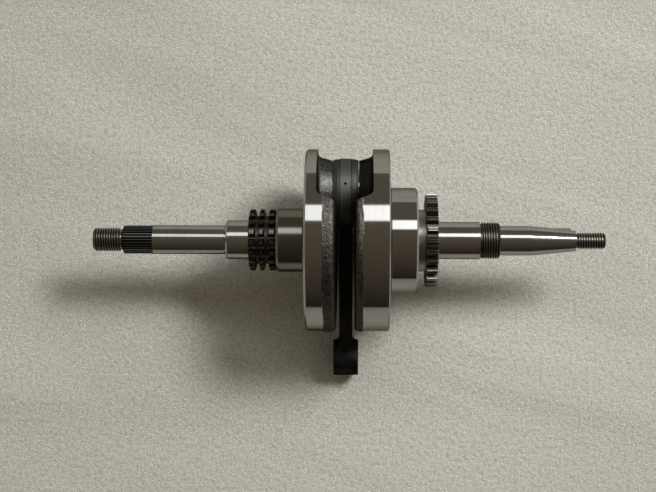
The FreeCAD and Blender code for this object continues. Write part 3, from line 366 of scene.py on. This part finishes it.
# ------------------------------------------------------------------ dress the CAD nodes
BEARING_STEEL = polished_material("bearing_steel_polished", (0.48, 0.475, 0.46), 0.05, 0.11)
MATERIALS = {
    "left_half_crank": crank_material("left_half_crank_steel", -1),
    "right_half_crank": crank_material("right_half_crank_steel", 1),
    "connecting_rod": rod_material(),
    # painted shade: the inner ring's tint is half that of the bearing steel
    "roller_bearing_inner_ring": polished_material("bearing_ring_painted_shade", (0.24, 0.228, 0.2), 0.14, 0.22),
    "timing_sprocket": dark_toothed_material(
        "sprocket_dark_oxide", SPROCKET_TEETH, SPROCKET_TIP, tip_half=0.30, dark=(0.055, 0.052, 0.045),
        bright=(0.11, 0.10, 0.085), glint=(0.16, 0.15, 0.13), edge=0.5 * MM,
        hub_end=SPROCKET_LOW.x - 1 * MM),
    "pump_drive_gear": dark_toothed_material(
        "gear_hardened", GEAR_TEETH, GEAR_TIP, tip_half=0.36, dark=(0.10, 0.095, 0.082),
        bright=(0.13, 0.125, 0.11), glint=(0.72, 0.70, 0.66), edge=0.3 * MM,
        hub_end=GEAR_HIGH.x - GEAR_TOOTH_WIDTH - 0.1 * MM),
}
KEY_STEEL = plain_steel("key_ground", (0.5, 0.48, 0.45), 0.3)
CAGE_STEEL = plain_steel("cage_pressed", (0.45, 0.44, 0.42), 0.32)
for node_name, node in NODES.items():
    if node_name in MATERIALS:
        material = MATERIALS[node_name]
    elif node_name.endswith("key") or "plug" in node_name:
        material = KEY_STEEL
    elif "cage" in node_name:
        material = CAGE_STEEL
    else:
        material = BEARING_STEEL
    for material_slot in node.material_slots:
        material_slot.material = material


# ------------------------------------------------------------------ floor
def make_floor():
    half = 2.5
    mesh = bpy.data.meshes.new("floor")
    corners = [(-half, -half, 0), (half, -half, 0), (half, half, 0), (-half, half, 0)]
    mesh.from_pydata(corners, [], [(0, 1, 2, 3)])
    floor = bpy.data.objects.new("floor", mesh)
    floor.location = (0, 0, FLOOR_Z - 0.02 * MM)
    bpy.context.scene.collection.objects.link(floor)
    material, t, shader = new_material("pale_sheet")
    x, y, z, vector = t.position()
    bubble_glint = t.noise(vector, 1150, 2.0, 0.6)
    cells = t.noise(vector, 380, 3.0, 0.6)
    slant = t.math("ADD", y, t.math("MULTIPLY", x, 0.3))
    waves = t.noise(t.stretched(x, slant, z, (4, 17, 1)), 1.0, 1.0, 0.45, 0.8)
    color = t.mix_color(t.remap(waves, 0.3, 0.7, 0.0, 1.0), (0.57, 0.56, 0.51), (0.67, 0.66, 0.61))
    # painted shade: the sheet darkens with distance from the crank
    color = t.mix_color(t.remap(t.radius(x, y), 0.12, 0.27, 0.0, 0.2), color, (0.36, 0.34, 0.28))
    color = t.mix_color(t.remap(cells, 0.35, 0.55, 0.38, 0.0), color, (0.30, 0.285, 0.24))
    # painted glints: near-white dots on the sheet, whose noise also bumps it as bubbles
    color = t.mix_color(t.remap(bubble_glint, 0.57, 0.66, 0.0, 1.0), color, (0.98, 0.98, 0.95))
    normal = t.bump(waves, 2.2 * MM)
    normal = t.bump(cells, 0.6 * MM, normal)
    normal = t.bump(bubble_glint, 0.35 * MM, normal)
    finish_material(t, shader, color, 0.42, normal, 0.0, (1.0, 1.0, 1.0))
    mesh.materials.append(material)


# ------------------------------------------------------------------ light
BOX_BOTTOM = 24               # soft box's edges, degrees from straight up, towards +Y
BOX_TOP = 44


def make_world():
    """A plain studio: dim warm surroundings that change smoothly, and one soft box towards +Y."""
    world = bpy.data.worlds.new("studio")
    world.use_nodes = True
    bpy.context.scene.world = world
    t = Tree(world.node_tree)
    background = world.node_tree.nodes["Background"]
    direction = t.add("ShaderNodeTexCoord").outputs["Generated"]
    split = t.add("ShaderNodeSeparateXYZ", {0: direction})
    dx, dy, dz = split.outputs[0], split.outputs[1], split.outputs[2]
    # the angle from straight up, positive towards +Y
    lean = t.math("MULTIPLY", t.math("ARCTAN2", dy, dz), 180 / math.pi)

    rise = t.remap(lean, -95, 10, 0.0, 1.0)
    surroundings = t.mix_color(rise, (0.020, 0.016, 0.010), (0.125, 0.102, 0.075))
    surroundings = t.mix_color(t.remap(lean, BOX_TOP, 90, 0.0, 1.0), surroundings, (0.13, 0.12, 0.10))
    sides = t.remap(t.math("ABSOLUTE", dx), 0.34, 0.9, 0.0, 1.0)
    surroundings = t.mix_color(sides, surroundings, (0.27, 0.24, 0.18))
    soft_box = t.both(t.between(lean, BOX_BOTTOM, BOX_TOP, 0.8), t.between(dx, -0.30, 0.24, 0.03))
    glow = t.mix_color(t.remap(dx, -0.12, 0.12, 0.0, 1.0), (1.3, 1.34, 1.36), (2.5, 2.47, 2.4))
    t.put(background.inputs["Color"], t.mix_color(soft_box, surroundings, glow))
    background.inputs["Strength"].default_value = 1.0


def area_light(name, place, target, width, height, power, color):
    data = bpy.data.lights.new(name, "AREA")
    data.shape = "RECTANGLE"
    data.size = width
    data.size_y = height
    data.energy = power
    data.color = color
    light = bpy.data.objects.new(name, data)
    bpy.context.scene.collection.objects.link(light)
    light.location = place
    light.rotation_euler = (Vector(target) - Vector(place)).to_track_quat("-Z", "Y").to_euler()


def make_lights():
    place = Vector((0.66, 0.60, 1.0)) * 3.2
    area_light("soft_box_light", place, (0, 0, 0), 1.3, 0.95, 138, (1.0, 0.985, 0.955))


# ------------------------------------------------------------------ camera
def make_camera():
    """Straight above the crank, turned a fraction of a degree, with the object a little left of centre."""
    data = bpy.data.cameras.new("camera")
    data.sensor_width = 36
    data.lens = 74.6
    data.shift_x = -0.0442
    data.shift_y = -0.0088
    data.clip_start = 0.01
    camera = bpy.data.objects.new("camera", data)
    camera.location = (ROD_X + 6.7 * MM, 0, 0.8)
    camera.rotation_euler = (0, 0, math.radians(0.2))
    bpy.context.scene.collection.objects.link(camera)
    bpy.context.scene.camera = camera


make_floor()
make_world()
make_lights()
make_camera()
bpy.context.scene.view_settings.view_transform = "Standard"
